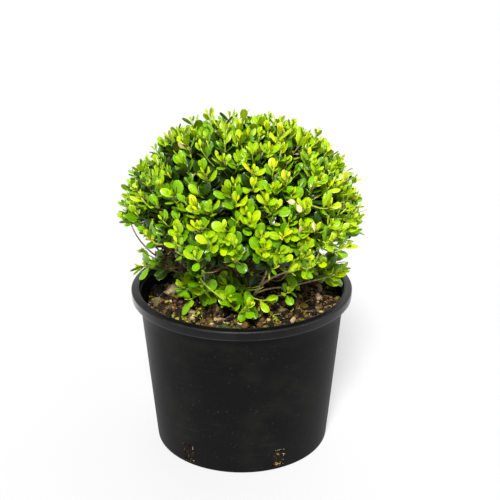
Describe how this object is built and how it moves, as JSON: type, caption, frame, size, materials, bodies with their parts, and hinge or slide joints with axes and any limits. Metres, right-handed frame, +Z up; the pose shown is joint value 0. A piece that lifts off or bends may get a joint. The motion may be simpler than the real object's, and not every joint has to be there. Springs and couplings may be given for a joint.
{
  "type": "clipped box ball in a nursery pot",
  "caption": "Round clipped box topiary ball growing in a black plastic nursery pot with a rolled lip and drainage slots.",
  "frame": {"origin": "centre of the pot's flat underside", "axes": "+Z up along the pot's axis, -Y to the front"},
  "size_m": [0.2841, 0.2891, 0.4044],
  "materials": {
    "pot_plastic": "matte charcoal black, slightly scuffed",
    "compost": "rough dark compost with bark chips",
    "bark": "rough tan bark",
    "green_twig": "smooth yellow-green shoots",
    "leaf_young": "glossy yellow-green",
    "leaf_mid": "glossy mid green",
    "leaf_dark": "glossy dark green",
    "leaf_dry": "dry tan"
  },
  "bodies": {
    "root": {"pot": "pot_plastic", "compost": "compost", "main_stem": "bark", "bough_top": "bark", "bough_front": "bark", "bough_front_right": "bark", "bough_back_right": "bark", "bough_back": "bark", "bough_back_left": "bark", "bough_front_left": "bark", "branch_left": "bark", "branch_front_left": "bark", "branch_front": "bark", "branch_right": "bark", "branch_back_right": "bark", "branch_back_left": "bark", "foliage_top": "leaf_mid", "foliage_front": "leaf_mid", "foliage_front_right": "leaf_mid", "foliage_back_right": "leaf_mid", "foliage_back": "leaf_mid", "foliage_back_left": "leaf_mid", "foliage_front_left": "leaf_mid", "spray_left": "leaf_mid", "spray_front_left": "leaf_mid", "spray_front": "leaf_mid", "spray_right": "leaf_mid", "spray_back_right": "leaf_mid", "spray_back_left": "leaf_mid"}
  },
  "joints": []
}
